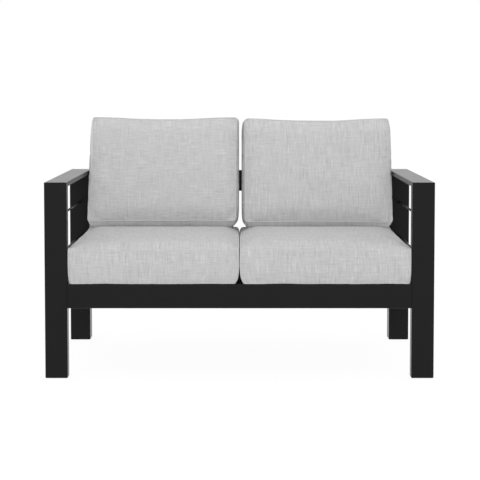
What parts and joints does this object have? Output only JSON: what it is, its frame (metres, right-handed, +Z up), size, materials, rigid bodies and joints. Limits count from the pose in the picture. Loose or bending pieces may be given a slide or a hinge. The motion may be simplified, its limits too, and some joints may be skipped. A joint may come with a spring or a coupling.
{
  "type": "patio loveseat",
  "caption": "Two-seat patio sofa: a black powder-coated aluminium frame with flat arms and side rods, loose boxed seat and back cushions, and screw feet at the rear.",
  "frame": {"origin": "on the floor under the middle of the frame, level with the undersides of the four feet", "axes": "+X to the right across the seat as seen from the front, +Y from the front to the back, +Z up"},
  "size_m": [1.28, 0.68, 0.8484],
  "materials": {
    "frame_coat": "near-black satin powder coat on aluminium tube",
    "cushion_fabric": "light grey heathered plain-weave outdoor fabric",
    "cushion_foam": "off-white polyurethane foam",
    "black_plastic": "black moulded polyethylene",
    "stainless_steel": "plain stainless steel",
    "zinc_steel": "bright zinc-plated steel"
  },
  "bodies": {
    "frame": {"back_slat_1": "frame_coat", "back_slat_2": "frame_coat", "back_slat_3": "frame_coat", "back_slat_4": "frame_coat", "back_slat_5": "frame_coat", "back_slat_6": "frame_coat", "foot_nuts": "zinc_steel", "front_rail": "frame_coat", "left_arm": "frame_coat", "left_back_cushion_core": "cushion_foam", "left_back_cushion_cover": "cushion_fabric", "left_end_plate": "frame_coat", "left_end_rail": "frame_coat", "left_front_leg": "frame_coat", "left_front_plug": "black_plastic", "left_lower_rod": "frame_coat", "left_rear_leg": "frame_coat", "left_rear_plug": "black_plastic", "left_seat_cushion_core": "cushion_foam", "left_seat_cushion_cover": "cushion_fabric", "left_side_rail": "frame_coat", "left_upper_rod": "frame_coat", "long_bolts": "stainless_steel", "lower_back_rail": "frame_coat", "rear_rail": "frame_coat", "right_arm": "frame_coat", "right_back_cushion_core": "cushion_foam", "right_back_cushion_cover": "cushion_fabric", "right_end_plate": "frame_coat", "right_end_rail": "frame_coat", "right_front_leg": "frame_coat", "right_front_plug": "black_plastic", "right_lower_rod": "frame_coat", "right_rear_leg": "frame_coat", "right_rear_plug": "black_plastic", "right_seat_cushion_core": "cushion_foam", "right_seat_cushion_cover": "cushion_fabric", "right_side_rail": "frame_coat", "right_upper_rod": "frame_coat", "rivet_nuts": "zinc_steel", "seat_slat_1": "frame_coat", "seat_slat_2": "frame_coat", "seat_slat_3": "frame_coat", "seat_slat_4": "frame_coat", "seat_slat_5": "frame_coat", "seat_slat_6": "frame_coat", "seat_slat_7": "frame_coat", "seat_slat_8": "frame_coat", "seat_slat_9": "frame_coat", "short_bolts": "stainless_steel", "top_rail": "frame_coat", "washers": "stainless_steel"},
    "left_foot_pad": {"left_foot_pad": "black_plastic"},
    "left_foot_screw": {"left_foot_screw": "zinc_steel"},
    "right_foot_pad": {"right_foot_pad": "black_plastic"},
    "right_foot_screw": {"right_foot_screw": "zinc_steel"}
  },
  "joints": [
    {"name": "left_foot_height", "type": "slide", "parent": "frame", "child": "left_foot_pad", "axis": [0, 0, -1], "range_m": [0, 0.01]},
    {"name": "left_foot_turn", "type": "hinge", "parent": "left_foot_pad", "child": "left_foot_screw", "pos_m": [-0.603, 0.309, 0], "axis": [0, 0, -1], "range_deg": [0, 2880]},
    {"name": "right_foot_height", "type": "slide", "parent": "frame", "child": "right_foot_pad", "axis": [0, 0, -1], "range_m": [0, 0.01]},
    {"name": "right_foot_turn", "type": "hinge", "parent": "right_foot_pad", "child": "right_foot_screw", "pos_m": [0.603, 0.309, 0], "axis": [0, 0, -1], "range_deg": [0, 2880]}
  ],
  "couplings": [
    {"joint": "left_foot_height", "follows": "left_foot_turn", "m_per_rad": 0.00019894},
    {"joint": "right_foot_height", "follows": "right_foot_turn", "m_per_rad": 0.00019894}
  ]
}
